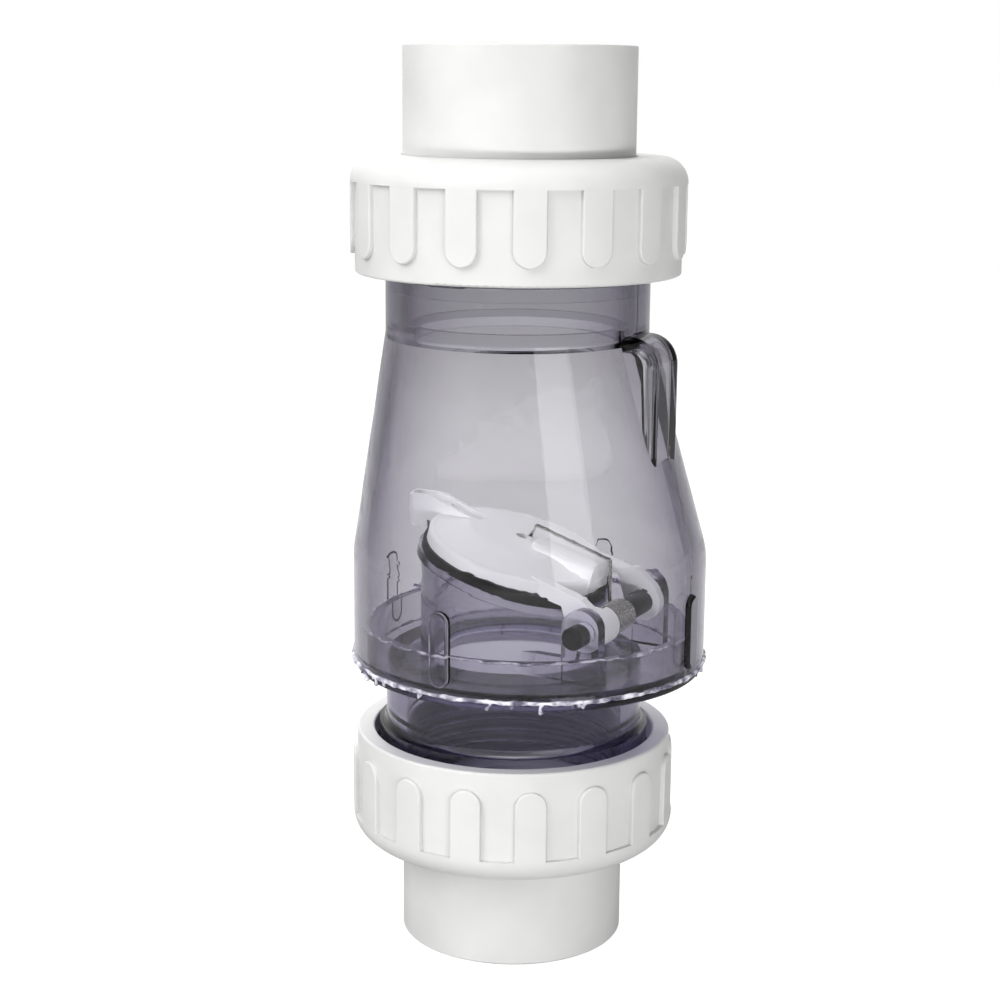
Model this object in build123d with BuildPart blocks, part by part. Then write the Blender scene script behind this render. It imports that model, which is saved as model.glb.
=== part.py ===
from build123d import *
import os
from math import cos, radians, sin

# A clear swing check valve for a 2 inch pressure pipe, with a union and a solvent socket at each end.
# Millimetres, +Z up and along the flow. The origin is the centre of the inlet socket's mouth.
# The flapper's hinge pin lies along Y on the +X side, and the flapper opens upwards.

# End connectors: plain solvent sockets with a flange that the union nut holds
SOCKET_R = 30.2
SOCKET_DEPTH = 38.0
CONNECTOR_R = 35.5
STOP_BORE_R = 26.0
FLANGE_R = 42.0
FLANGE_HEIGHT = 7.0
CONNECTOR_EDGE = 0.5

# Unions: both seal faces, and what stands on them
INLET_FACE_Z = FLANGE_HEIGHT + SOCKET_DEPTH
FACE_TO_FACE = 191.1
OUTLET_FACE_Z = INLET_FACE_Z + FACE_TO_FACE
O_RING_R = 38.4
O_RING_SECTION_R = 1.45
O_RING_GROOVE_DEPTH = 3.0
O_RING_GROOVE_HALF = 1.7

# Union nuts
NUT_R = 50.1
NUT_PAD_R = 51.5
NUT_OPEN_END = -23.0
NUT_CLOSED_END = 12.5
NUT_SHOULDER_LOW = 4.6
NUT_SHOULDER_ROUND = 7.8
NUT_HOLE_R = 36.0
NUT_BORE_R = 44.6
NUT_RIM_ROUND = 0.8
PAD_COUNT = 16
PAD_WIDTH = 9.7
PAD_LOW = -17.5
PAD_ROUND = 0.5
PAD_SINK = 2.0
INLET_PAD_ANGLE = -55.2
OUTLET_PAD_ANGLE = -57.7

# Union threads, right-hand, measured from the seal face
THREAD_PITCH = 4.0
THREAD_TURNS = 4.0
THREAD_START = -19.0
NECK_CORE_R = 42.4
NECK_CREST_R = 44.2
NUT_CREST_R = 42.8
TOOTH_ROOT_HALF = 1.3
TOOTH_CREST_HALF = 0.5
TOOTH_SINK = 0.25

# Necks of the clear body
NECK_R = 40.8
COLLAR_R = 43.0
INLET_COLLAR_LOW = -25.0
OUTLET_COLLAR_LOW = -22.4
COLLAR_HIGH = -21.3
FLARE_R = COLLAR_R - NECK_R
OUTLET_END_BORE_R = 33.4
OUTLET_END_BORE_Z = 207.3
OUTLET_NECK_BORE_R = 34.2
INLET_NECK_BORE_R = 34.5

# Bell, the clear upper body
BELLY_X = 5.3
BELLY_R = 55.5
WALL = 4.0
JOINT_Z = 93.0
SHOULDER_Z = 127.5
CONE_TOP_Z = 195.0
SHOULDER_ROUND = 26.0
LEDGE_R = 31.8
LEDGE_LOW_Z = 192.5
LEDGE_HIGH_Z = 198.0

# Pocket on the bell that takes the flapper's tail when the valve is open
POCKET_X = 51.3
POCKET_HALF = 9.3
POCKET_TOP_Z = 196.5
POCKET_LOW_Z = 150.0
POCKET_TOP_ROUND = 9.0
POCKET_SIDE_ROUND = 3.0
POCKET_WALL = 3.6

# Ribs and parting line moulded on the bell
RIB_WIDTH = 7.0
RIB_HEIGHT = 23.5
RIB_MIDDLE_Z = 107.0
RIB_PROUD = 1.5
RIB_ROUND = 1.2
SEAM_HALF = 0.25
SEAM_PROUD = 0.3
SEAM_BEND_Z = SHOULDER_Z - 4.0
SEAM_LOW_Z = JOINT_Z + 1.0

# Base, the clear lower body, and the cement that joins it to the bell
PLATE_LOW_Z = 89.7
PLATE_RIM_Z = 92.6
PLATE_TOP_Z = 94.0
PLATE_R = 55.0
PLATE_ROUND = 1.0
SPIGOT_R = 51.4
SPIGOT_WALL = 3.0
SPIGOT_TOP_Z = 104.0
BEAD_PROUD = 0.8
BEAD_ROUND = 0.6
SEAT_TUBE_R = 30.0
SEAT_BORE_R = 26.0
SEAT_Z = 120.5
SEAT_TILT = 15.5
LIP_HEIGHT = 2.6
LIP_PROUD = 0.65
BORE_CONE_LOW_Z = 86.0
BORE_CONE_HIGH_Z = 92.0

# Hinge: pin, ears on the base and eyes on the flapper
PIN_X = 36.4
PIN_Z = 109.2
PIN_R = 3.5
PIN_HALF = 32.1
PIN_EDGE = 0.5
EAR_OUTER_Y = 26.8
EAR_THICKNESS = 4.5
EAR_WIDTH = 12.0
EAR_TOP_CENTRE_Z = 110.7
EAR_HOLE_CLEARANCE = 0.02
WEB_THICKNESS = 3.0
WEB_TOP_Z = 101.0
WEB_START_X = 15.0
EAR_FOOT_Z = PLATE_LOW_Z + 1.0
EYE_CLEARANCE = 0.05
EYE_R = 6.1
ARM_OUTER_Y = 22.0
ARM_THICKNESS = 3.6
ARM_HEIGHT = 4.2
SLEEVE_R = 5.9
SLEEVE_END_Y = -12.0
NOTCH_DEPTH_Y = 4.0
ARM_START_X = 10.0
ARM_FREE_X = 28.0
ARM_BEND_X = 33.5

# Flapper and its seal, measured from the seat plane
SEAL_R = 30.5
SEAL_HEIGHT = 3.0
DISC_R = 29.5
DISC_HEIGHT = 4.0
DISC_ROUND = 1.2
DOME_FOOT_R = 27.5
DOME_TOP_R = 17.0
DOME_HEIGHT = 2.8
DOME_ROUND = 8.0
SPINE_START = 6.0
SPINE_END = 29.2
SPINE_HALF = 6.8
SPINE_TOP = 11.8
SPINE_ROUND = 2.6
SPINE_EDGE = 1.5
SCREW_R = 2.0
SCREW_HOLE_R = 2.05
HOOK_HOLE_R = 0.9
HOOK_HOLE_X = 1.5
SCREW_TIP = 8.6
SCREW_HEAD_R = 4.2
SCREW_HEAD_HEIGHT = 2.6
SCREW_HEAD_ROUND = 1.5
SCREW_SLOT = 1.0
WASHER_R = 10.0
WASHER_HEIGHT = 1.5

# Looped tail of the flapper
TAIL_HALF = 4.1
TAIL_WALL = 1.5
TAIL_END_X = -35.5
TAIL_LOW_Z = 129.7
TAIL_TOP_Z = 140.0
TAIL_KINK_X = -29.0
TAIL_KINK_ROUND = 8.0
TAIL_CLEAR_X = -30.9
TAIL_MEETS_X = -9.0
TAIL_MEETS_Z = 132.6
TAIL_FLOOR_Z = 135.5
TAIL_FLOOR_END_X = -24.5
SLOT_END_X = -11.5
SLOT_DEPTH = 3.4

# Torsion spring: a close coil on the pin, one leg on the flapper and one on the seat tube
WIRE_R = 0.54
LEG_WIRE_R = 0.58
LEG_OVERLAP = 0.3
COIL_R = 4.3
COIL_START_Y = -11.0
COIL_END_Y = 2.8
COIL_TURNS = 12
FIXED_LEG_TILT = 14.5
FIXED_LEG_LENGTH = 14.0
LEG_BEND_Z = 125.1
LEG_HOOK_X = 6.2
LEG_HOOK_Z = 133.3
HOOK_END_X = 4.0
HOOK_END_Z = 129.4
LEG_BEND_ROUND = 2.0

seat = Plane(
    origin=(0, 0, SEAT_Z),
    x_dir=(cos(radians(SEAT_TILT)), 0, -sin(radians(SEAT_TILT))),
    z_dir=(sin(radians(SEAT_TILT)), 0, cos(radians(SEAT_TILT))),
)
inlet_end = Plane(origin=(0, 0, INLET_FACE_Z), x_dir=(1, 0, 0), z_dir=(0, 0, -1))
outlet_end = Plane(origin=(0, 0, OUTLET_FACE_Z), x_dir=(1, 0, 0), z_dir=(0, 0, 1))


# Union pieces are drawn standing on their seal face at the origin, with their outward side up
def placed(piece, end, name):
    """The piece moved to its end of the valve and named."""
    moved = end.location * piece
    moved.label = name
    return moved


def helical_ridge(low, turns, root_r, crest_r):
    """One thread ridge: a trapezium swept up a right-hand helix, its root sunk in the wall."""
    toward_wall = -1 if crest_r > root_r else 1
    buried_r = root_r + toward_wall * TOOTH_SINK
    with BuildPart() as ridge:
        with BuildLine() as path:
            Helix(THREAD_PITCH, THREAD_PITCH * turns, buried_r)
        with BuildSketch(Plane(origin=(buried_r, 0, 0), x_dir=(1, 0, 0), z_dir=(0, -1, 0))):
            with BuildLine():
                Polyline(
                    (0, -TOOTH_ROOT_HALF),
                    (crest_r - buried_r, -TOOTH_CREST_HALF),
                    (crest_r - buried_r, TOOTH_CREST_HALF),
                    (0, TOOTH_ROOT_HALF),
                    close=True,
                )
            make_face()
        sweep(path=path.line, is_frenet=True)
    return Pos(0, 0, low) * ridge.part


def neck_end(bore_r, collar_low):
    """The end of a neck: a flare into a collar, then the threaded part up to the seal face."""
    flare_low = collar_low - FLARE_R
    with BuildPart() as neck:
        with BuildSketch(Plane.XZ):
            with BuildLine():
                Polyline(
                    (NECK_R, flare_low),
                    (bore_r, flare_low),
                    (bore_r, 0),
                    (NECK_CORE_R, 0),
                    (NECK_CORE_R, COLLAR_HIGH),
                    (COLLAR_R, COLLAR_HIGH),
                    (COLLAR_R, collar_low),
                )
                CenterArc((COLLAR_R, flare_low), FLARE_R, 90, 90)
            make_face()
        revolve(axis=Axis.Z)
        add(helical_ridge(THREAD_START, THREAD_TURNS, NECK_CORE_R, NECK_CREST_R))
    return neck.part


def end_connector():
    top = FLANGE_HEIGHT + SOCKET_DEPTH
    with BuildPart() as connector:
        with BuildSketch(Plane.XZ):
            with BuildLine():
                Polyline(
                    (STOP_BORE_R, 0),
                    (FLANGE_R, 0),
                    (FLANGE_R, FLANGE_HEIGHT),
                    (CONNECTOR_R, FLANGE_HEIGHT),
                    (CONNECTOR_R, top),
                    (SOCKET_R, top),
                    (SOCKET_R, FLANGE_HEIGHT),
                    (STOP_BORE_R, FLANGE_HEIGHT),
                    close=True,
                )
            make_face()
            with Locations((O_RING_R, O_RING_GROOVE_DEPTH / 2)):
                Rectangle(2 * O_RING_GROOVE_HALF, O_RING_GROOVE_DEPTH, mode=Mode.SUBTRACT)
        revolve(axis=Axis.Z)
        mouth_edges = connector.edges().filter_by(GeomType.CIRCLE).group_by(Axis.Z)[-1]
        fillet(mouth_edges.sort_by(SortBy.RADIUS)[-1], radius=CONNECTOR_EDGE)
    return connector.part


def union_o_ring():
    with BuildPart() as o_ring:
        with BuildSketch(Plane.XZ):
            with Locations((O_RING_R, O_RING_GROOVE_DEPTH / 2)):
                Circle(O_RING_SECTION_R)
        revolve(axis=Axis.Z)
    return o_ring.part


def grip_pad():
    """One raised pad of a nut, on the +X side: an upright bar whose lower end is round."""
    round_z = PAD_LOW + PAD_WIDTH / 2
    with BuildPart() as pad:
        with BuildSketch(Plane.YZ.offset(NUT_R - PAD_SINK)):
            with Locations((0, round_z)):
                Circle(PAD_WIDTH / 2)
            with Locations((0, (round_z + NUT_SHOULDER_LOW) / 2)):
                Rectangle(PAD_WIDTH, NUT_SHOULDER_LOW - round_z)
        extrude(amount=2 * PAD_SINK)
        with BuildSketch(Plane.XY.offset(PAD_LOW)):
            Circle(NUT_PAD_R)
        extrude(amount=NUT_SHOULDER_LOW - PAD_LOW, mode=Mode.INTERSECT)
        outer_face = pad.faces().sort_by(Axis.X)[-1]
        fillet(outer_face.edges().sort_by(Axis.Z)[:-1], radius=PAD_ROUND)
    return pad.part


def union_nut(pad_angle):
    """A nut whose first pad lies at the given angle."""
    shoulder_r = NUT_PAD_R - NUT_SHOULDER_ROUND
    shoulder_z = NUT_CLOSED_END - NUT_SHOULDER_ROUND
    with BuildPart() as nut:
        with BuildSketch(Plane.XZ):
            with BuildLine():
                Polyline(
                    (shoulder_r, NUT_CLOSED_END),
                    (NUT_HOLE_R, NUT_CLOSED_END),
                    (NUT_HOLE_R, FLANGE_HEIGHT),
                    (NUT_BORE_R, FLANGE_HEIGHT),
                    (NUT_BORE_R, NUT_OPEN_END),
                    (NUT_R, NUT_OPEN_END),
                    (NUT_R, NUT_SHOULDER_LOW),
                    (NUT_PAD_R, NUT_SHOULDER_LOW),
                    (NUT_PAD_R, shoulder_z),
                )
                CenterArc((shoulder_r, shoulder_z), NUT_SHOULDER_ROUND, 0, 90)
            make_face()
        revolve(axis=Axis.Z)
        rims = nut.edges().filter_by(GeomType.CIRCLE).group_by(Axis.Z)[0]
        fillet(rims, radius=NUT_RIM_ROUND)
        low = THREAD_START + THREAD_PITCH / 2
        add(helical_ridge(low, THREAD_TURNS - 0.5, NUT_BORE_R, NUT_CREST_R))
        with PolarLocations(0, PAD_COUNT, start_angle=pad_angle):
            add(grip_pad())
    return nut.part


# Bell, the clear upper body
def belly_and_cone(inset):
    """The bell's outside, or the hollow inside it when inset is the wall's thickness."""
    with BuildPart() as shape:
        with BuildSketch(Plane.XY.offset(JOINT_Z)):
            with Locations((BELLY_X, 0)):
                Circle(BELLY_R - inset)
        extrude(amount=SHOULDER_Z - JOINT_Z)
        with BuildSketch(Plane.XY.offset(SHOULDER_Z)):
            with Locations((BELLY_X, 0)):
                Circle(BELLY_R - inset)
        with BuildSketch(Plane.XY.offset(CONE_TOP_Z)):
            Circle(NECK_R - inset)
        loft()
        shoulder = shape.edges().filter_by_position(Axis.Z, SHOULDER_Z - 0.01, SHOULDER_Z + 0.01)
        fillet(shoulder, radius=SHOULDER_ROUND)
    return shape.part


def tail_pocket(inset):
    """The hump over the flapper's tail, or the hollow in it when inset is its wall's thickness."""
    corner_x = POCKET_X - POCKET_TOP_ROUND
    corner_z = POCKET_TOP_Z - POCKET_TOP_ROUND
    with BuildPart() as hump:
        with BuildSketch(Plane.XZ):
            with BuildLine():
                Polyline(
                    (corner_x, POCKET_TOP_Z - inset),
                    (0, POCKET_TOP_Z - inset),
                    (0, POCKET_LOW_Z),
                    (POCKET_X - inset, POCKET_LOW_Z),
                    (POCKET_X - inset, corner_z),
                )
                CenterArc((corner_x, corner_z), POCKET_TOP_ROUND - inset, 0, 90)
            make_face()
        extrude(amount=POCKET_HALF - inset, both=True)
        outer_faces = hump.faces().filter_by(
            lambda face: face.center().X > corner_x and abs(face.center().Y) < 0.01
        )
        side_edges = [
            edge
            for edge in outer_faces.edges()
            if abs(edge.center().Y) > 1 and edge.center().X > corner_x
        ]
        fillet(side_edges, radius=POCKET_SIDE_ROUND * (POCKET_HALF - inset) / POCKET_HALF)
    return hump.part


def belly_ribs():
    """Four upright raised bars spaced round the belly."""
    with BuildPart() as bar:
        with BuildSketch(Plane.YZ.offset(BELLY_R - WALL / 2)):
            with Locations((0, RIB_MIDDLE_Z)):
                SlotOverall(RIB_HEIGHT, RIB_WIDTH, rotation=90)
        extrude(amount=WALL / 2 + RIB_PROUD)
        with BuildSketch():
            Circle(BELLY_R + RIB_PROUD)
        extrude(amount=SHOULDER_Z, mode=Mode.INTERSECT)
        outer_face = bar.faces().sort_by(Axis.X)[-1]
        fillet(outer_face.edges(), radius=RIB_ROUND)
    with BuildPart() as ribs:
        with Locations((BELLY_X, 0)):
            with PolarLocations(0, 4):
                add(bar.part)
    return ribs.part


def parting_line(neck_top_z):
    """The fine raised line that the mould left down the +X side, in the plane Y = 0."""
    belly_side = BELLY_X + BELLY_R + SEAM_PROUD
    neck_side = NECK_R + SEAM_PROUD
    with BuildPart() as line:
        with BuildSketch(Plane.XZ):
            with BuildLine():
                Polyline(
                    (0, SEAM_LOW_Z),
                    (belly_side, SEAM_LOW_Z),
                    (belly_side, SEAM_BEND_Z),
                    (neck_side, CONE_TOP_Z),
                    (neck_side, neck_top_z),
                    (0, neck_top_z),
                    close=True,
                )
            make_face()
        extrude(amount=SEAM_HALF, both=True)
    return line.part


def valve_bell():
    flare_z = OUTLET_FACE_Z + OUTLET_COLLAR_LOW - FLARE_R
    with BuildPart() as bell:
        add(belly_and_cone(0))
        add(tail_pocket(0))
        with BuildSketch(Plane.XY.offset(CONE_TOP_Z)):
            Circle(NECK_R)
        extrude(amount=flare_z - CONE_TOP_Z)
        add(belly_ribs())
        add(parting_line(flare_z))
        add(outlet_end.location * neck_end(OUTLET_END_BORE_R, OUTLET_COLLAR_LOW))
        add(belly_and_cone(WALL), mode=Mode.SUBTRACT)
        add(tail_pocket(POCKET_WALL), mode=Mode.SUBTRACT)
        with BuildSketch(Plane.XY.offset(CONE_TOP_Z)):
            Circle(OUTLET_NECK_BORE_R)
        extrude(amount=OUTLET_END_BORE_Z - CONE_TOP_Z, mode=Mode.SUBTRACT)
        with BuildSketch(Plane.XY.offset(OUTLET_END_BORE_Z)):
            Circle(OUTLET_END_BORE_R)
        extrude(amount=flare_z - OUTLET_END_BORE_Z, mode=Mode.SUBTRACT)
        with BuildSketch(Plane.XY.offset(LEDGE_LOW_Z)):
            Circle(NECK_R - WALL / 2)
            Circle(LEDGE_R, mode=Mode.SUBTRACT)
        extrude(amount=LEDGE_HIGH_Z - LEDGE_LOW_Z)
    bell.part.label = "valve_bell"
    return bell.part


# Base, the clear lower body with the seat and the hinge's ears
def seat_tube():
    """The tube up to the tilted seat, with the lip round its top."""
    along_tilt = 1 / cos(radians(SEAT_TILT))
    with BuildPart() as tube:
        with BuildSketch(Plane.XY.offset(PLATE_LOW_Z)):
            Circle(SEAT_TUBE_R)
        extrude(amount=SEAT_Z + SEAT_TUBE_R - PLATE_LOW_Z)
        with BuildSketch(seat):
            Circle(2 * SEAT_TUBE_R)
        extrude(amount=2 * SEAT_TUBE_R, mode=Mode.SUBTRACT)
        with BuildSketch(seat):
            Ellipse(SEAT_TUBE_R * along_tilt + LIP_PROUD, SEAT_TUBE_R + LIP_PROUD)
        extrude(amount=-LIP_HEIGHT)
    return tube.part


def hinge_ears():
    """Two upright ears that hold the pin, each tied to the seat tube by a low web."""
    with BuildPart() as ears:
        for inner_y in (EAR_OUTER_Y - EAR_THICKNESS, -EAR_OUTER_Y):
            with BuildSketch(Plane.XZ.offset(-inner_y)):
                with Locations((PIN_X, EAR_TOP_CENTRE_Z)):
                    Circle(EAR_WIDTH / 2)
                with Locations((PIN_X, (EAR_FOOT_Z + EAR_TOP_CENTRE_Z) / 2)):
                    Rectangle(EAR_WIDTH, EAR_TOP_CENTRE_Z - EAR_FOOT_Z)
                with Locations((PIN_X, PIN_Z)):
                    Circle(PIN_R + EAR_HOLE_CLEARANCE, mode=Mode.SUBTRACT)
            extrude(amount=-EAR_THICKNESS)
        web_y = EAR_OUTER_Y - EAR_THICKNESS + WEB_THICKNESS / 2
        web_x = (WEB_START_X + PIN_X) / 2
        web_z = (EAR_FOOT_Z + WEB_TOP_Z) / 2
        for side in (-1, 1):
            with Locations((web_x, side * web_y, web_z)):
                Box(PIN_X - WEB_START_X, WEB_THICKNESS, WEB_TOP_Z - EAR_FOOT_Z)
    return ears.part


def valve_base():
    flare_z = INLET_FACE_Z - INLET_COLLAR_LOW + FLARE_R
    with BuildPart() as base:
        with BuildSketch(Plane.XY.offset(PLATE_LOW_Z)):
            with Locations((BELLY_X, 0)):
                Circle(PLATE_R)
        extrude(amount=PLATE_RIM_Z - PLATE_LOW_Z)
        fillet(base.edges().filter_by(GeomType.CIRCLE), radius=PLATE_ROUND)
        with BuildSketch(Plane.XY.offset(PLATE_RIM_Z)):
            with Locations((BELLY_X, 0)):
                Circle(SPIGOT_R)
        extrude(amount=SPIGOT_TOP_Z - PLATE_RIM_Z)
        with BuildSketch(Plane.XY.offset(PLATE_TOP_Z)):
            with Locations((BELLY_X, 0)):
                Circle(SPIGOT_R - SPIGOT_WALL)
        extrude(amount=SPIGOT_TOP_Z - PLATE_TOP_Z, mode=Mode.SUBTRACT)
        add(seat_tube())
        add(hinge_ears())
        with BuildSketch(Plane.XY.offset(flare_z)):
            Circle(NECK_R)
        extrude(amount=PLATE_LOW_Z - flare_z)
        with BuildSketch(Plane.XY.offset(BORE_CONE_LOW_Z)):
            Circle(INLET_NECK_BORE_R)
        with BuildSketch(Plane.XY.offset(BORE_CONE_HIGH_Z)):
            Circle(SEAT_BORE_R)
        loft(mode=Mode.SUBTRACT)
        with BuildSketch(Plane.XY.offset(BORE_CONE_HIGH_Z)):
            Circle(SEAT_BORE_R)
        extrude(amount=2 * SEAT_TUBE_R, mode=Mode.SUBTRACT)
        with BuildSketch(Plane.XY.offset(BORE_CONE_LOW_Z)):
            Circle(INLET_NECK_BORE_R)
        extrude(amount=flare_z - BORE_CONE_LOW_Z, mode=Mode.SUBTRACT)
        add(inlet_end.location * neck_end(INLET_NECK_BORE_R, INLET_COLLAR_LOW))
    base.part.label = "valve_base"
    return base.part


def cement_bead():
    """The solvent cement between plate and bell, with the ridge squeezed out of the joint."""
    with BuildPart() as bead:
        with BuildSketch(Plane.XY.offset(PLATE_RIM_Z)):
            Circle(BELLY_R + BEAD_PROUD)
            Circle(SPIGOT_R, mode=Mode.SUBTRACT)
        extrude(amount=JOINT_Z - PLATE_RIM_Z)
        bead_middle = (BELLY_R + BEAD_PROUD / 2, (PLATE_RIM_Z + JOINT_Z) / 2)
        with BuildSketch(Plane.XZ):
            with Locations(bead_middle):
                Circle(BEAD_ROUND)
        revolve(axis=Axis.Z)
        with BuildSketch(Plane.XY.offset(JOINT_Z)):
            Circle(BELLY_R)
        extrude(amount=BEAD_ROUND * 2, mode=Mode.SUBTRACT)
        with BuildSketch(Plane.XY.offset(PLATE_RIM_Z)):
            Circle(PLATE_R)
        extrude(amount=-BEAD_ROUND * 2, mode=Mode.SUBTRACT)
    centred = Pos(BELLY_X, 0, 0) * bead.part
    centred.label = "cement_bead"
    return centred


# Hinge pin
def hinge_pin():
    with BuildPart() as pin:
        with BuildSketch(Plane.XZ.offset(-PIN_HALF)):
            with Locations((PIN_X, PIN_Z)):
                Circle(PIN_R)
        extrude(amount=2 * PIN_HALF)
        chamfer(pin.edges().filter_by(GeomType.CIRCLE), length=PIN_EDGE)
    pin.part.label = "hinge_pin"
    return pin.part


# Flapper, with its seal and the screw and washer that hold the seal
def flapper_disc():
    """The round plate with its low dome, standing on the seat frame's own Z."""
    plate_top = SEAL_HEIGHT + DISC_HEIGHT
    dome_top = plate_top + DOME_HEIGHT
    with BuildPart() as disc:
        with BuildSketch(Plane.XZ):
            with BuildLine():
                Polyline(
                    (0, SEAL_HEIGHT),
                    (DISC_R, SEAL_HEIGHT),
                    (DISC_R, plate_top),
                    (DOME_FOOT_R, plate_top),
                    (DOME_TOP_R, dome_top),
                    (0, dome_top),
                    close=True,
                )
            make_face()
        revolve(axis=Axis.Z)
        crown_edge = disc.edges().filter_by(GeomType.CIRCLE).sort_by(Axis.Z)[-1]
        fillet(crown_edge, radius=DOME_ROUND)
        rim_edge = disc.edges().filter_by(GeomType.CIRCLE).sort_by(SortBy.RADIUS)[-2:]
        fillet(rim_edge.sort_by(Axis.Z)[-1], radius=DISC_ROUND)
    return disc.part


def flapper_spine():
    """The raised block between the screw hole and the hinge side, standing on the seat frame."""
    length = SPINE_END - SPINE_START
    height = SPINE_TOP - SEAL_HEIGHT
    with BuildPart() as spine:
        with Locations((SPINE_START + length / 2, 0, SEAL_HEIGHT + height / 2)):
            Box(length, 2 * SPINE_HALF, height)
        fillet(spine.edges().filter_by(Axis.Z).group_by(Axis.X)[0], radius=SPINE_ROUND)
        top_face = spine.faces().sort_by(Axis.Z)[-1]
        fillet(top_face.edges(), radius=SPINE_EDGE)
    return spine.part


def hinge_arms():
    """Two arms out to the eyes on the pin, and the sleeve on the front one. Seat frame."""
    pin = seat.to_local_coords(Vector(PIN_X, 0, PIN_Z))
    arm_top = SEAL_HEIGHT + ARM_HEIGHT
    with BuildPart() as arms:
        for inner_y in (ARM_OUTER_Y - ARM_THICKNESS, -ARM_OUTER_Y):
            with BuildSketch(Plane.XZ.offset(-inner_y)):
                with BuildSketch(mode=Mode.PRIVATE) as free_part:
                    with Locations((pin.X, pin.Z)):
                        Circle(EYE_R)
                    middle = ((ARM_FREE_X + ARM_BEND_X) / 2, (SEAL_HEIGHT + arm_top) / 2)
                    with Locations(middle):
                        Rectangle(ARM_BEND_X - ARM_FREE_X, ARM_HEIGHT)
                    make_hull()
                add(free_part.sketch)
                straight = ((ARM_START_X + ARM_BEND_X) / 2, (SEAL_HEIGHT + arm_top) / 2)
                with Locations(straight):
                    Rectangle(ARM_BEND_X - ARM_START_X, ARM_HEIGHT)
            extrude(amount=-ARM_THICKNESS)
        with BuildSketch(Plane.XZ.offset(ARM_OUTER_Y)):
            with Locations((pin.X, pin.Z)):
                Circle(SLEEVE_R)
        extrude(amount=-(ARM_OUTER_Y + SLEEVE_END_Y))
        add(sleeve_notch(pin), mode=Mode.SUBTRACT)
        with BuildSketch(Plane.XZ.offset(ARM_OUTER_Y)):
            with Locations((pin.X, pin.Z)):
                Circle(PIN_R + EYE_CLEARANCE)
        extrude(amount=-2 * ARM_OUTER_Y, mode=Mode.SUBTRACT)
    return arms.part


def sleeve_notch(pin):
    """A wedge that opens the upper side of the sleeve at its inner end."""
    above = pin.Z + 1.2 * SLEEVE_R
    past_end = SLEEVE_END_Y + NOTCH_DEPTH_Y / 4
    with BuildPart() as notch:
        with BuildSketch(Plane.YZ.offset(pin.X - 2 * SLEEVE_R)):
            with BuildLine():
                Polyline(
                    (SLEEVE_END_Y - NOTCH_DEPTH_Y, above),
                    (past_end, above),
                    (past_end, pin.Z + PIN_R / 2),
                    close=True,
                )
            make_face()
        extrude(amount=2 * SLEEVE_R)
    return notch.part


def flapper_tail():
    """The looped tail: two thin rails joined by a round end, with a floor near that end. Valve frame."""
    straight_end = TAIL_MEETS_X - TAIL_END_X
    with BuildPart() as tail:
        with BuildSketch(Plane.XZ.offset(-TAIL_HALF)):
            with BuildLine():
                tip_x = TAIL_END_X - TAIL_HALF
                Polyline(
                    (TAIL_MEETS_X, TAIL_MEETS_Z),
                    (TAIL_KINK_X, TAIL_TOP_Z),
                    (tip_x, TAIL_TOP_Z),
                    (tip_x, TAIL_LOW_Z),
                    (TAIL_CLEAR_X, TAIL_LOW_Z),
                    (TAIL_CLEAR_X, seat_height(TAIL_CLEAR_X, SEAL_HEIGHT)),
                    (TAIL_MEETS_X, seat_height(TAIL_MEETS_X, SEAL_HEIGHT)),
                    close=True,
                )
            make_face()
        extrude(amount=2 * TAIL_HALF)
        kink = tail.edges().filter_by(Axis.Y).sort_by(
            lambda edge: abs(edge.center().X - TAIL_KINK_X) + abs(edge.center().Z - TAIL_TOP_Z)
        )[0]
        fillet(kink, radius=TAIL_KINK_ROUND)
        with BuildSketch(Plane.XY.offset(PLATE_TOP_Z)):
            with Locations((TAIL_END_X, 0)):
                Circle(TAIL_HALF)
            with Locations((TAIL_END_X + straight_end / 2, 0)):
                Rectangle(straight_end, 2 * TAIL_HALF)
            with Locations((TAIL_END_X, 0)):
                Circle(TAIL_HALF - TAIL_WALL, mode=Mode.SUBTRACT)
            with Locations((TAIL_END_X + straight_end / 2, 0)):
                Rectangle(straight_end, 2 * (TAIL_HALF - TAIL_WALL), mode=Mode.SUBTRACT)
        extrude(amount=TAIL_TOP_Z, mode=Mode.INTERSECT)
        with BuildSketch(Plane.XY.offset(TAIL_FLOOR_Z)):
            floor_length = TAIL_FLOOR_END_X - TAIL_END_X
            with Locations((TAIL_END_X, 0)):
                Circle(TAIL_HALF)
            with Locations((TAIL_END_X + floor_length / 2, 0)):
                Rectangle(floor_length, 2 * TAIL_HALF)
        extrude(amount=TAIL_WALL)
    return tail.part


def tail_slot():
    """The slot between the rails where they run over the disc, to be cut away. Valve frame."""
    fall = (TAIL_TOP_Z - TAIL_MEETS_Z) / (TAIL_MEETS_X - TAIL_KINK_X)
    low_start = TAIL_TOP_Z - fall * (TAIL_FLOOR_END_X - TAIL_KINK_X) - SLOT_DEPTH
    low_end = TAIL_TOP_Z - fall * (SLOT_END_X - TAIL_KINK_X) - SLOT_DEPTH
    half = TAIL_HALF - TAIL_WALL
    with BuildPart() as slot:
        with BuildSketch(Plane.XZ.offset(-half)):
            with BuildLine():
                Polyline(
                    (TAIL_FLOOR_END_X, low_start),
                    (TAIL_FLOOR_END_X, TAIL_TOP_Z),
                    (SLOT_END_X, TAIL_TOP_Z),
                    (SLOT_END_X, low_end),
                    close=True,
                )
            make_face()
        extrude(amount=2 * half)
    return slot.part


def seat_height(x, above):
    """The height at x of the plane that lies the given distance above the seat plane."""
    return SEAT_Z + (above - x * sin(radians(SEAT_TILT))) / cos(radians(SEAT_TILT))


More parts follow.
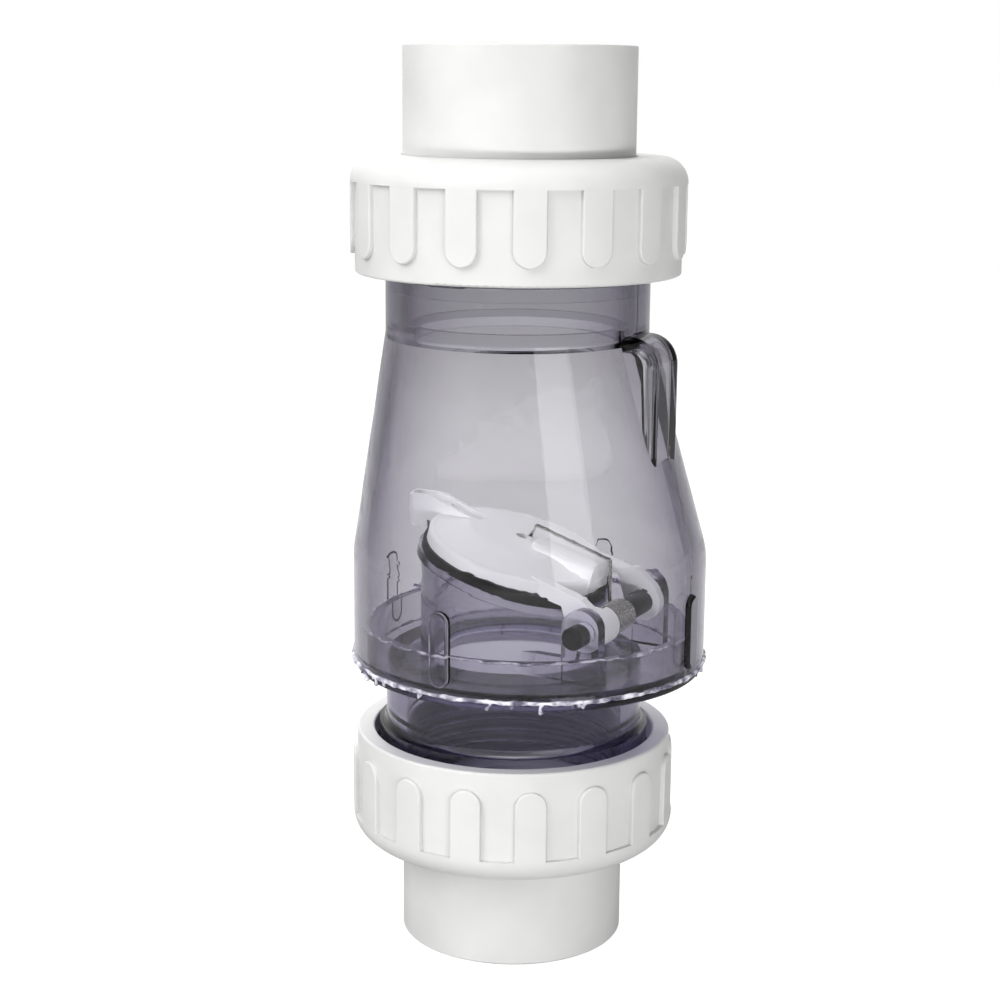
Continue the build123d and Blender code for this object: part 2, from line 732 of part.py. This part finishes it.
def flapper():
    with BuildPart() as whole:
        add(seat.location * flapper_disc())
        add(seat.location * flapper_spine())
        add(seat.location * hinge_arms())
        add(flapper_tail())
        add(tail_slot(), mode=Mode.SUBTRACT)
        with BuildSketch(seat):
            Circle(SCREW_HOLE_R)
            with Locations((HOOK_HOLE_X, COIL_END_Y)):
                Circle(HOOK_HOLE_R)
        extrude(amount=2 * SPINE_TOP, mode=Mode.SUBTRACT)
    whole.part.label = "flapper"
    return whole.part


def flapper_seal():
    with BuildPart() as seal:
        with BuildSketch(seat):
            Circle(SEAL_R)
            Circle(SCREW_HOLE_R, mode=Mode.SUBTRACT)
        extrude(amount=SEAL_HEIGHT)
    seal.part.label = "flapper_seal"
    return seal.part


def seal_washer():
    with BuildPart() as washer:
        with BuildSketch(seat):
            Circle(WASHER_R)
            Circle(SCREW_HOLE_R, mode=Mode.SUBTRACT)
        extrude(amount=-WASHER_HEIGHT)
    washer.part.label = "seal_washer"
    return washer.part


def seal_screw():
    with BuildPart() as screw:
        with BuildSketch(seat.offset(-WASHER_HEIGHT)):
            Circle(SCREW_R)
        extrude(amount=WASHER_HEIGHT + SCREW_TIP)
        with BuildSketch(seat.offset(-WASHER_HEIGHT)):
            Circle(SCREW_HEAD_R)
        extrude(amount=-SCREW_HEAD_HEIGHT)
        head_edge = screw.edges().filter_by(GeomType.CIRCLE).sort_by(Axis(seat.origin, seat.z_dir))[0]
        fillet(head_edge, radius=SCREW_HEAD_ROUND)
        slot_middle = -WASHER_HEIGHT - SCREW_HEAD_HEIGHT
        with BuildSketch(seat.offset(slot_middle)):
            Rectangle(3 * SCREW_HEAD_R, SCREW_SLOT)
        extrude(amount=SCREW_HEAD_HEIGHT / 2, mode=Mode.SUBTRACT)
    screw.part.label = "seal_screw"
    return screw.part


# Torsion spring: its legs are a shade thicker than the coil's wire, so that they close round its ends
def wire_along(points):
    """A length of wire through the points, with its corners bent round."""
    with BuildPart() as wire:
        with BuildLine() as path:
            FilletPolyline(*points, radius=LEG_BEND_ROUND)
        with BuildSketch(Plane(origin=path.line @ 0, z_dir=path.line % 0)):
            Circle(LEG_WIRE_R)
        sweep(path=path.line)
    return wire.part


def spring_coil(turns, height):
    """The close coil, standing at the origin along Z and starting on the +X side."""
    with BuildPart() as coil:
        with BuildLine() as path:
            Helix(height / turns, height, COIL_R)
        with BuildSketch(Plane(origin=path.line @ 0, z_dir=path.line % 0)):
            Circle(WIRE_R)
        sweep(path=path.line, is_frenet=True)
    return coil.part


def torsion_spring():
    start_turn = radians(180 - FIXED_LEG_TILT)
    outward = Vector(cos(start_turn), 0, sin(start_turn))
    leg_way = Vector(-sin(radians(FIXED_LEG_TILT)), 0, -cos(radians(FIXED_LEG_TILT)))
    coil_base = Plane(origin=(PIN_X, COIL_START_Y, PIN_Z), x_dir=outward, z_dir=(0, 1, 0))
    coil_start = coil_base.origin + outward * COIL_R
    turns = COIL_TURNS - FIXED_LEG_TILT / 360
    leg_x = PIN_X - COIL_R
    with BuildPart() as spring:
        add(coil_base.location * spring_coil(turns, COIL_END_Y - COIL_START_Y))
        with BuildSketch(Plane(origin=coil_start - leg_way * LEG_OVERLAP, z_dir=leg_way)):
            Circle(LEG_WIRE_R)
        extrude(amount=FIXED_LEG_LENGTH + LEG_OVERLAP)
        add(
            wire_along(
                [
                    (leg_x, COIL_END_Y, PIN_Z - LEG_OVERLAP),
                    (leg_x, COIL_END_Y, LEG_BEND_Z),
                    (LEG_HOOK_X, COIL_END_Y, LEG_HOOK_Z),
                    (HOOK_END_X, COIL_END_Y, HOOK_END_Z),
                ]
            )
        )
    spring.part.label = "torsion_spring"
    return spring.part


pieces = [
    placed(end_connector(), inlet_end, "inlet_connector"),
    placed(end_connector(), outlet_end, "outlet_connector"),
    placed(union_o_ring(), inlet_end, "inlet_o_ring"),
    placed(union_o_ring(), outlet_end, "outlet_o_ring"),
    placed(union_nut(-INLET_PAD_ANGLE), inlet_end, "inlet_union_nut"),
    placed(union_nut(OUTLET_PAD_ANGLE), outlet_end, "outlet_union_nut"),
    valve_bell(),
    valve_base(),
    cement_bead(),
    hinge_pin(),
    flapper(),
    flapper_seal(),
    seal_washer(),
    seal_screw(),
    torsion_spring(),
]

os.makedirs("parts", exist_ok=True)
for piece in pieces:
    export_step(piece, f"parts/{piece.label}.step")
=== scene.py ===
import math
import random

import bpy
from mathutils import Matrix, Vector, noise


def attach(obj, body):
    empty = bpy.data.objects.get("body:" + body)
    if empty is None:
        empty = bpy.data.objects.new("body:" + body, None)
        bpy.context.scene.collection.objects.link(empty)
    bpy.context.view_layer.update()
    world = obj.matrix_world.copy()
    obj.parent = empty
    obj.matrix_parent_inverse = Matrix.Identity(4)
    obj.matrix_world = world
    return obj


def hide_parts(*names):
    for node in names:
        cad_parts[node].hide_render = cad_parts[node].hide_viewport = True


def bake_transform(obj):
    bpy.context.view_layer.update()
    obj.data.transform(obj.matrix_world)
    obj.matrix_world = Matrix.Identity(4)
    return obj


# The looks of a clear swing check valve with white union ends. Metres, in the CAD's own frame:
# +Z along the flow, +X towards the flapper's hinge, Y along the hinge pin.

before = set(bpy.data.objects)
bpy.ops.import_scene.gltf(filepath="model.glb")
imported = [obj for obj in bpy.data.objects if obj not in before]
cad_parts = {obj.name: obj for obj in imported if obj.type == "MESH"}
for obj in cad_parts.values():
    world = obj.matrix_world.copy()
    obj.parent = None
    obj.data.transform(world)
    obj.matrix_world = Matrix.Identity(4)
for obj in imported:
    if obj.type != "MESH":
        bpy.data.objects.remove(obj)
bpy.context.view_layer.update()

# What the pieces made here need to know about the CAD
BELLY_X = 0.0053
BELLY_R = 0.0555
JOINT_Z = 0.0928
SPIGOT_R = 0.0514
SPIGOT_TOP_Z = 0.104
PIN = Vector((0.0364, 0.0, 0.1092))
COIL_R = 0.0043
COIL_Y = (-0.011, 0.0028)
COIL_TURNS = 10
COIL_STEPS_PER_TURN = 40
FIXED_LEG_TILT = 14.5
FIXED_LEG_LENGTH = 0.014
FREE_LEG_START_Z = PIN.z + 0.0015
FREE_LEG_TOP_Z = 0.1251
HOOK_X = 0.0062
HOOK_Z = 0.1333
HOOK_TIP_X = 0.0040
HOOK_TIP_Z = 0.1294
WIRE_R = 0.00055
WIRE_SIDES = 14
WIRE_BEND_R = 0.0012

# The cement: the bead round the joint, the runs that hang from it, and the line inside
BEAD_THICK = 0.00062
LINE_THICK = 0.00035
CEMENT_SIDES = 12
RING_STEPS = 720
DRIP_COUNT = 34
DRIP_STEPS = 14
DRIP_LENGTHS = (0.0010, 0.0036)
DRIP_WIDTHS = (0.0006, 0.0011)

# How dark the clear plastic is, and how it bends light
CLEAR_DENSITY = 60.0
PLASTIC_IOR = 1.53


# ---------------------------------------------------------------- node helpers
def new_material(name):
    material = bpy.data.materials.new(name)
    material.use_nodes = True
    tree = material.node_tree
    shader = next(n for n in tree.nodes if n.type == "BSDF_PRINCIPLED")
    output = next(n for n in tree.nodes if n.type == "OUTPUT_MATERIAL")
    return material, tree, shader, output


def noise_texture(tree, scale, detail=3.0, stretch=(1, 1, 1)):
    """A noise texture in the object's own metres, so that it stays on the piece."""
    place = tree.nodes.new("ShaderNodeTexCoord")
    mapping = tree.nodes.new("ShaderNodeMapping")
    mapping.inputs["Scale"].default_value = stretch
    texture = tree.nodes.new("ShaderNodeTexNoise")
    texture.inputs["Scale"].default_value = scale
    texture.inputs["Detail"].default_value = detail
    tree.links.new(place.outputs["Object"], mapping.inputs["Vector"])
    tree.links.new(mapping.outputs["Vector"], texture.inputs["Vector"])
    return texture


def ramp(tree, source, stops):
    node = tree.nodes.new("ShaderNodeValToRGB")
    elements = node.color_ramp.elements
    while len(elements) < len(stops):
        elements.new(0.5)
    for element, (position, color) in zip(elements, stops):
        element.position = position
        element.color = color
    tree.links.new(source, node.inputs["Fac"])
    return node


def grey(value):
    return (value, value, value, 1.0)


def add_bump(tree, shader, layers):
    """Bump from several noise textures: (scale, detail, strength, height in metres, stretch)."""
    last = None
    for scale, detail, strength, height, stretch in layers:
        texture = noise_texture(tree, scale, detail, stretch=stretch)
        bump = tree.nodes.new("ShaderNodeBump")
        bump.inputs["Strength"].default_value = strength
        bump.inputs["Distance"].default_value = height
        tree.links.new(texture.outputs["Fac"], bump.inputs["Height"])
        if last is not None:
            tree.links.new(last.outputs["Normal"], bump.inputs["Normal"])
        last = bump
    tree.links.new(last.outputs["Normal"], shader.inputs["Normal"])


# ---------------------------------------------------------------- materials
def moulded_white(name, low, high):
    """White rigid plastic: a little mottled, satin, with a very fine moulded texture."""
    material, tree, shader, _ = new_material(name)
    mottle = noise_texture(tree, 55, 5)
    color = ramp(
        tree,
        mottle.outputs["Fac"],
        [(0.3, (low, low * 1.005, low * 0.985, 1)), (0.7, (high, high, high * 0.99, 1))],
    )
    tree.links.new(color.outputs["Color"], shader.inputs["Base Color"])
    cloud = noise_texture(tree, 130, 4)
    roughness = ramp(tree, cloud.outputs["Fac"], [(0.3, grey(0.30)), (0.75, grey(0.42))])
    tree.links.new(roughness.outputs["Color"], shader.inputs["Roughness"])
    shader.inputs["IOR"].default_value = PLASTIC_IOR
    add_bump(
        tree,
        shader,
        [(900, 2, 0.10, 0.0001, (1, 1, 1)), (60, 2, 0.10, 0.0008, (1, 1, 0.4))],
    )
    return material


def clear_plastic(name, smooth, hazy, wavy, passes):
    """Clear PVC with the violet that a thick wall shows, and its grazing edges darkened by painted shade;
    lamps shine through it.
    """
    material, tree, shader, output = new_material(name)
    haze = noise_texture(tree, 70, 4)
    roughness = ramp(tree, haze.outputs["Fac"], [(0.35, grey(smooth)), (0.8, grey(hazy))])
    tree.links.new(roughness.outputs["Color"], shader.inputs["Roughness"])
    # Painted shade: the colour darkens towards grazing edges, standing in for the darker surroundings seen
    # there, on top of the wall's real absorption
    edge = tree.nodes.new("ShaderNodeLayerWeight")
    edge.inputs["Blend"].default_value = 0.5
    painted_edge_shade = ramp(
        tree,
        edge.outputs["Facing"],
        [(0.10, (1, 1, 1, 1)), (0.45, (0.78, 0.76, 0.80, 1)), (0.75, (0.42, 0.39, 0.48, 1))],
    )
    tree.links.new(painted_edge_shade.outputs["Color"], shader.inputs["Base Color"])
    shader.inputs["IOR"].default_value = PLASTIC_IOR
    shader.inputs["Transmission Weight"].default_value = 1.0
    add_bump(
        tree,
        shader,
        [(35, 1, wavy, 0.0006, (1, 1, 0.5))],
    )
    lamps = tree.nodes.new("ShaderNodeBsdfTransparent")
    lamps.inputs["Color"].default_value = (0.97, 0.97, 0.98, 1)
    path = tree.nodes.new("ShaderNodeLightPath")
    mix = tree.nodes.new("ShaderNodeMixShader")
    tree.links.new(path.outputs["Is Shadow Ray"], mix.inputs[0])
    tree.links.new(shader.outputs["BSDF"], mix.inputs[1])
    tree.links.new(lamps.outputs["BSDF"], mix.inputs[2])
    tree.links.new(mix.outputs["Shader"], output.inputs["Surface"])
    body = tree.nodes.new("ShaderNodeVolumeAbsorption")
    body.inputs["Color"].default_value = passes
    body.inputs["Density"].default_value = CLEAR_DENSITY
    tree.links.new(body.outputs["Volume"], output.inputs["Volume"])
    return material


def dried_cement(name):
    """Solvent cement squeezed out of the joint: glassy, lumpy and cloudy white in places."""
    material, tree, shader, _ = new_material(name)
    cloud = noise_texture(tree, 260, 4)
    color = ramp(
        tree,
        cloud.outputs["Fac"],
        [(0.35, (0.50, 0.46, 0.64, 1)), (0.6, (0.88, 0.87, 0.95, 1))],
    )
    tree.links.new(color.outputs["Color"], shader.inputs["Base Color"])
    roughness = ramp(tree, cloud.outputs["Fac"], [(0.3, grey(0.06)), (0.8, grey(0.22))])
    tree.links.new(roughness.outputs["Color"], shader.inputs["Roughness"])
    clearness = ramp(tree, cloud.outputs["Fac"], [(0.38, grey(0.85)), (0.62, grey(0.25))])
    tree.links.new(clearness.outputs["Color"], shader.inputs["Transmission Weight"])
    shader.inputs["IOR"].default_value = 1.5
    add_bump(tree, shader, [(700, 3, 0.6, 0.0003, (1, 1, 1))])
    return material


def dark_rubber(name):
    material, tree, shader, _ = new_material(name)
    tone = 0.004
    cloud = noise_texture(tree, 240, 4)
    color = ramp(tree, cloud.outputs["Fac"], [(0.3, grey(tone)), (0.75, grey(tone * 2.2))])
    tree.links.new(color.outputs["Color"], shader.inputs["Base Color"])
    roughness = ramp(tree, cloud.outputs["Fac"], [(0.3, grey(0.42)), (0.8, grey(0.62))])
    tree.links.new(roughness.outputs["Color"], shader.inputs["Roughness"])
    shader.inputs["Specular IOR Level"].default_value = 0.25
    add_bump(tree, shader, [(1500, 2, 0.25, 0.0001, (1, 1, 1))])
    return material


def black_plastic(name):
    """Black nylon: satin, with faint turning marks round the pin."""
    material, tree, shader, _ = new_material(name)
    cloud = noise_texture(tree, 400, 3, stretch=(1, 6, 1))
    color = ramp(tree, cloud.outputs["Fac"], [(0.3, grey(0.006)), (0.75, grey(0.02))])
    tree.links.new(color.outputs["Color"], shader.inputs["Base Color"])
    roughness = ramp(tree, cloud.outputs["Fac"], [(0.3, grey(0.30)), (0.8, grey(0.45))])
    tree.links.new(roughness.outputs["Color"], shader.inputs["Roughness"])
    shader.inputs["Specular IOR Level"].default_value = 0.2
    add_bump(tree, shader, [(900, 2, 0.15, 0.0001, (1, 5, 1))])
    return material


def stainless(name, low, high):
    """Bright stainless steel with drawn streaks."""
    material, tree, shader, _ = new_material(name)
    shader.inputs["Metallic"].default_value = 1.0
    streaks = noise_texture(tree, 600, 4, stretch=(1, 1, 4))
    color = ramp(
        tree,
        streaks.outputs["Fac"],
        [(0.3, (0.50, 0.49, 0.47, 1)), (0.7, (0.72, 0.71, 0.69, 1))],
    )
    tree.links.new(color.outputs["Color"], shader.inputs["Base Color"])
    roughness = ramp(tree, streaks.outputs["Fac"], [(0.3, grey(low)), (0.8, grey(high))])
    tree.links.new(roughness.outputs["Color"], shader.inputs["Roughness"])
    add_bump(tree, shader, [(1800, 2, 0.12, 0.00005, (1, 1, 5))])
    return material


def give(node_name, material):
    """Puts a better material on a CAD node, whose mesh stays as it is."""
    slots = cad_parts[node_name].material_slots
    for one in slots:
        one.material = material


# ---------------------------------------------------------------- mesh helpers
def mesh_object(name, vertices, faces, material):
    mesh = bpy.data.meshes.new(name)
    mesh.from_pydata([tuple(v) for v in vertices], [], faces)
    mesh.update()
    mesh.materials.append(material)
    for polygon in mesh.polygons:
        polygon.use_smooth = True
    made = bpy.data.objects.new(name, mesh)
    bpy.context.scene.collection.objects.link(made)
    return made


def tube(points, radii, sides, closed=False):
    """A tube's vertices and faces along points, turned no more than the path turns."""
    count = len(points)
    vertices, faces = [], []
    side = None
    for index, point in enumerate(points):
        before = points[(index - 1) % count] if closed or index > 0 else points[0]
        after = points[(index + 1) % count] if closed or index < count - 1 else points[-1]
        way = (after - before).normalized()
        if side is None:
            side = way.orthogonal().normalized()
        side = (side - way * side.dot(way)).normalized()
        up = way.cross(side)
        for step in range(sides):
            turn = 2 * math.pi * step / sides
            offset = side * math.cos(turn) + up * math.sin(turn)
            vertices.append(point + offset * radii[index])
    rings = count if closed else count - 1
    for ring in range(rings):
        low, high = ring * sides, ((ring + 1) % count) * sides
        for step in range(sides):
            following = (step + 1) % sides
            faces.append((low + step, low + following, high + following, high + step))
    if not closed:
        faces.append(tuple(range(sides - 1, -1, -1)))
        faces.append(tuple(range((count - 1) * sides, count * sides)))
    return vertices, faces


# ---------------------------------------------------------------- torsion spring
def bent(points, radius, steps=8):
    """The path through points with each corner replaced by an arc of about that radius."""
    path = [points[0]]
    for before, corner, after in zip(points, points[1:], points[2:]):
        back, ahead = (before - corner).normalized(), (after - corner).normalized()
        cut = radius / math.tan(back.angle(ahead) / 2)
        start, end = corner + back * cut, corner + ahead * cut
        for step in range(steps + 1):
            t = step / steps
            path.append(start * (1 - t) ** 2 + corner * 2 * t * (1 - t) + end * t**2)
    path.append(points[-1])
    return path


def spring_path():
    """The wire's middle line: the fixed leg, the coil round the pin, and the leg hooked in the flapper."""
    first_turn = math.radians(180 - FIXED_LEG_TILT)
    turns = COIL_TURNS - FIXED_LEG_TILT / 360
    tilt = math.radians(FIXED_LEG_TILT)
    start = PIN + Vector((math.cos(first_turn), 0, math.sin(first_turn))) * COIL_R
    start.y = COIL_Y[0]
    foot = start + Vector((-math.sin(tilt), 0, -math.cos(tilt))) * FIXED_LEG_LENGTH
    path = [foot.lerp(start, t / 12) for t in range(12)]
    steps = int(turns * COIL_STEPS_PER_TURN)
    for step in range(steps + 1):
        part = step / steps
        turn = first_turn - 2 * math.pi * turns * part
        y = COIL_Y[0] + (COIL_Y[1] - COIL_Y[0]) * part
        path.append(Vector((PIN.x + COIL_R * math.cos(turn), y, PIN.z + COIL_R * math.sin(turn))))
    leg_x, y = PIN.x - COIL_R, COIL_Y[1]
    corners = [
        Vector((leg_x, y, FREE_LEG_START_Z)),
        Vector((leg_x, y, FREE_LEG_TOP_Z)),
        Vector((HOOK_X, y, HOOK_Z)),
        Vector((HOOK_TIP_X, y, HOOK_TIP_Z)),
    ]
    return path + bent(corners, WIRE_BEND_R)


def torsion_spring():
    """The spring's wire, which twists between the body and the flapper."""
    path = spring_path()
    vertices, faces = tube(path, [WIRE_R] * len(path), WIRE_SIDES)
    spring = mesh_object("spring_wire", vertices, faces, stainless("spring_steel", 0.16, 0.34))
    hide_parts("torsion_spring")
    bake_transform(spring)
    return spring


# ---------------------------------------------------------------- solvent cement
def on_rim(turn, radius, z):
    return Vector((BELLY_X + radius * math.cos(turn), radius * math.sin(turn), z))


def cement_ring(name, radius, z, thick, uneven, wander, seed, material):
    """An uneven bead of cement round the joint."""
    points, radii = [], []
    for step in range(RING_STEPS):
        turn = 2 * math.pi * step / RING_STEPS
        probe = Vector((math.cos(turn) * 9 + seed, math.sin(turn) * 9, 0.0))
        fine = Vector((math.cos(turn) * 40 + seed, math.sin(turn) * 40, 3.0))
        lump = noise.noise(probe) + 0.6 * noise.noise(fine)
        drift = wander * noise.noise(probe * 1.7 + Vector((0, 0, 5)))
        points.append(on_rim(turn, radius, z + drift))
        radii.append(max(thick * (1 + uneven * lump), thick * 0.25))
    vertices, faces = tube(points, radii, CEMENT_SIDES, closed=True)
    return mesh_object(name, vertices, faces, material)


def drip(turn, length, width, material, index):
    """One run of cement that hangs from the bead down the plate's rim."""
    points, radii = [], []
    for step in range(DRIP_STEPS + 1):
        part = step / DRIP_STEPS
        sway = 0.0006 * math.sin(part * 3 + index)
        radius = BELLY_R + 0.0001 - 0.0006 * part
        points.append(on_rim(turn + sway / BELLY_R, radius, JOINT_Z - length * part))
        neck = 0.55 + 0.25 * math.cos(part * math.pi * 2) + 0.35 * part
        end = math.sqrt(max(1 - max((part - 0.8) / 0.2, 0) ** 2, 0.02))
        radii.append(width * neck * end)
    vertices, faces = tube(points, radii, CEMENT_SIDES)
    return mesh_object(f"cement_drip_{index}", vertices, faces, material)


def joined(name, parts):
    """One object from several, so that the cement is one piece."""
    for one in bpy.context.selected_objects:
        one.select_set(False)
    for part in parts:
        part.select_set(True)
    bpy.context.view_layer.objects.active = parts[0]
    bpy.ops.object.join()
    parts[0].name = name
    return parts[0]


def cement():
    """The bead with its runs, in place of the plain one, and the ragged line inside the joint."""
    rng = random.Random(7)
    material = dried_cement("dried_cement")
    outside, inside = BELLY_R + 0.0002, SPIGOT_R - 0.0003
    parts = [cement_ring("cement", outside, JOINT_Z, BEAD_THICK, 0.6, 0.0003, 0, material)]
    for index in range(DRIP_COUNT):
        turn = rng.uniform(0, 2 * math.pi)
        length = rng.uniform(*DRIP_LENGTHS)
        width = rng.uniform(*DRIP_WIDTHS)
        parts.append(drip(turn, length, width, material, index))
    bead = joined("cement_squeezed_out", parts)
    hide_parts("cement_bead")
    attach(bead, "valve_body")
    line = cement_ring("cement_line", inside, SPIGOT_TOP_Z, LINE_THICK, 0.8, 0.0007, 31, material)
    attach(line, "valve_body")


# ---------------------------------------------------------------- stage, light and camera
# Brightness of the room and of what stands out in it
ROOM_LIGHT = 0.10
BACKDROP_LIGHT = 0.62
LEFT_WALL_LIGHT = 0.35
CEILING_LIGHT = 0.6
FLOOR_SEEN = 0.93
FLOOR_GLOW = 0.20
FLOOR_BEHIND = 0.28
# The cosines between which each of them fades in
BACKDROP_EDGE = (0.64, 0.90)
LEFT_WALL_EDGE = (0.35, 0.75)
CEILING_EDGE = (0.5, 0.9)

VIEW_AZIMUTH = math.radians(29)
RIGHT = Vector((math.cos(VIEW_AZIMUTH), math.sin(VIEW_AZIMUTH), 0))
AHEAD = Vector((-math.sin(VIEW_AZIMUTH), math.cos(VIEW_AZIMUTH), 0))


def facing_step(tree, direction, way, low, high):
    """0 to 1 as a direction turns towards a way: its cosine goes from low to high."""
    along = tree.nodes.new("ShaderNodeVectorMath")
    along.operation = "DOT_PRODUCT"
    along.inputs[1].default_value = way
    tree.links.new(direction, along.inputs[0])
    spread = tree.nodes.new("ShaderNodeMapRange")
    spread.interpolation_type = "SMOOTHSTEP"
    spread.inputs["From Min"].default_value = low
    spread.inputs["From Max"].default_value = high
    tree.links.new(along.outputs["Value"], spread.inputs["Value"])
    return spread.outputs["Result"]


def weighted_sum(tree, parts, start):
    """The start value plus each (socket, weight)."""
    total = None
    for socket, weight in parts:
        step = tree.nodes.new("ShaderNodeMath")
        step.operation = "MULTIPLY_ADD"
        step.inputs[1].default_value = weight
        step.inputs[2].default_value = start
        tree.links.new(socket, step.inputs[0])
        if total is not None:
            tree.links.new(total, step.inputs[2])
        total = step.outputs["Value"]
    return total


def floor_material(name):
    """White to the camera. In gloss and through the walls it is dimmer, and brightest behind the valve."""
    material, tree, shader, _ = new_material(name)
    cloud = noise_texture(tree, 3, 3)
    color = ramp(tree, cloud.outputs["Fac"], [(0.3, grey(0.16)), (0.7, grey(0.20))])
    tree.links.new(color.outputs["Color"], shader.inputs["Base Color"])
    shader.inputs["Roughness"].default_value = 0.9
    shader.inputs["Specular IOR Level"].default_value = 0.0
    shader.inputs["Emission Color"].default_value = (1, 1, 1, 1)
    place = tree.nodes.new("ShaderNodeTexCoord")
    toward = tree.nodes.new("ShaderNodeVectorMath")
    toward.operation = "NORMALIZE"
    tree.links.new(place.outputs["Object"], toward.inputs[0])
    behind = facing_step(tree, toward.outputs["Vector"], AHEAD, *BACKDROP_EDGE)
    glow = weighted_sum(tree, [(behind, FLOOR_BEHIND)], FLOOR_GLOW)
    path = tree.nodes.new("ShaderNodeLightPath")
    brightness = tree.nodes.new("ShaderNodeMix")
    brightness.inputs["B"].default_value = FLOOR_SEEN
    tree.links.new(path.outputs["Is Camera Ray"], brightness.inputs["Factor"])
    tree.links.new(glow, brightness.inputs["A"])
    tree.links.new(brightness.outputs["Result"], shader.inputs["Emission Strength"])
    return material


def floor():
    size = 60.0
    corners = [(-size, -size, 0), (size, -size, 0), (size, size, 0), (-size, size, 0)]
    ground = mesh_object("floor", corners, [(0, 1, 2, 3)], floor_material("pale_floor"))


def soft_world():
    """A dim studio with a white backdrop, a pale wall to the left and a pale ceiling.

    The camera itself sees plain white.
    """
    world = bpy.data.worlds.new("studio")
    bpy.context.scene.world = world
    world.use_nodes = True
    tree = world.node_tree
    background = next(n for n in tree.nodes if n.type == "BACKGROUND")
    output = next(n for n in tree.nodes if n.type == "OUTPUT_WORLD")
    place = tree.nodes.new("ShaderNodeTexCoord").outputs["Generated"]
    parts = [
        (facing_step(tree, place, AHEAD, *BACKDROP_EDGE), BACKDROP_LIGHT),
        (facing_step(tree, place, -RIGHT, *LEFT_WALL_EDGE), LEFT_WALL_LIGHT),
        (facing_step(tree, place, Vector((0, 0, 1)), *CEILING_EDGE), CEILING_LIGHT),
    ]
    tree.links.new(weighted_sum(tree, parts, ROOM_LIGHT), background.inputs["Strength"])
    background.inputs["Color"].default_value = (1, 1, 1, 1)
    seen = tree.nodes.new("ShaderNodeBackground")
    seen.inputs["Color"].default_value = (1, 1, 1, 1)
    path = tree.nodes.new("ShaderNodeLightPath")
    mix = tree.nodes.new("ShaderNodeMixShader")
    tree.links.new(path.outputs["Is Camera Ray"], mix.inputs[0])
    tree.links.new(background.outputs["Background"], mix.inputs[1])
    tree.links.new(seen.outputs["Background"], mix.inputs[2])
    tree.links.new(mix.outputs["Shader"], output.inputs["Surface"])


def softbox(name, place, aim, size, power, in_gloss):
    """A soft lamp; in_gloss says whether polished surfaces mirror it."""
    light = bpy.data.lights.new(name, "AREA")
    light.shape = "RECTANGLE"
    light.size, light.size_y = size
    light.energy = power
    lamp = bpy.data.objects.new(name, light)
    lamp.location = place
    lamp.rotation_euler = (aim - place).to_track_quat("-Z", "Y").to_euler()
    lamp.visible_glossy = in_gloss
    lamp.visible_transmission = in_gloss
    bpy.context.scene.collection.objects.link(lamp)


def lights():
    middle = Vector((0, 0, 0.16))
    left = middle - RIGHT * 0.95 - AHEAD * 0.55 + Vector((0, 0, 0.75))
    softbox("key_left", left, middle, (0.8, 0.9), 15.0, False)
    strip = middle + RIGHT * 0.56 - AHEAD * 1.0 + Vector((0, 0, 0.28))
    softbox("front_strip", strip, middle, (0.60, 0.7), 2.0, True)
    low = middle + RIGHT * 0.20 - AHEAD * 0.9 + Vector((0, 0, -0.12))
    softbox("low_fill", low, middle, (1.2, 0.1), 8.5, False)
    back = middle - RIGHT * 0.15 + AHEAD * 0.9 + Vector((0, 0, 0.70))
    softbox("back", back, middle, (0.8, 0.6), 17.0, False)
    top = middle - RIGHT * 0.1 - AHEAD * 0.1 + Vector((0, 0, 1.1))
    softbox("top", top, middle, (0.9, 0.9), 6.0, False)


def camera():
    """The photograph's own view: 71 mm lens, from the front and a little to the right."""
    distance, sideways, height = 0.610748, -0.00494, 0.272132
    pitch, roll = math.radians(12.104), math.radians(0.51)
    data = bpy.data.cameras.new("view")
    data.sensor_width = 36.0
    data.lens = 71.284896
    eye = bpy.data.objects.new("view", data)
    bpy.context.scene.collection.objects.link(eye)
    ahead = AHEAD * math.cos(pitch) - Vector((0, 0, math.sin(pitch)))
    up = AHEAD * math.sin(pitch) + Vector((0, 0, math.cos(pitch)))
    right = RIGHT * math.cos(roll) + up * math.sin(roll)
    up = up * math.cos(roll) - RIGHT * math.sin(roll)
    turn = Matrix((right, up, -ahead)).transposed().to_4x4()
    place = RIGHT * sideways - AHEAD * distance + Vector((0, 0, height))
    eye.matrix_world = Matrix.Translation(place) @ turn
    bpy.context.scene.camera = eye


# ---------------------------------------------------------------- the valve
white = moulded_white("white_pvc", 0.54, 0.585)
# Painted light: the flapper is the same white plastic made much lighter, standing in for the light that
# the clear walls keep from it
painted_light_white = moulded_white("flapper_painted_light_white", 0.92, 0.96)
clear = clear_plastic("clear_pvc", 0.0, 0.006, 0.006, (0.17, 0.14, 0.27, 1))
hazy = clear_plastic("hazy_pvc", 0.04, 0.10, 0.03, (0.22, 0.16, 0.44, 1))
rubber = dark_rubber("black_rubber")
steel = stainless("stainless", 0.2, 0.38)
for node in ("inlet_connector", "outlet_connector", "inlet_union_nut", "outlet_union_nut"):
    give(node, white)
give("flapper", painted_light_white)
give("valve_bell", clear)
give("valve_base", hazy)
for node in ("flapper_seal", "inlet_o_ring", "outlet_o_ring"):
    give(node, rubber)
give("hinge_pin", black_plastic("black_nylon"))
for node in ("seal_washer", "seal_screw"):
    give(node, steel)

torsion_spring()
cement()
floor()
soft_world()
lights()
camera()
bpy.context.scene.view_settings.view_transform = "Standard"
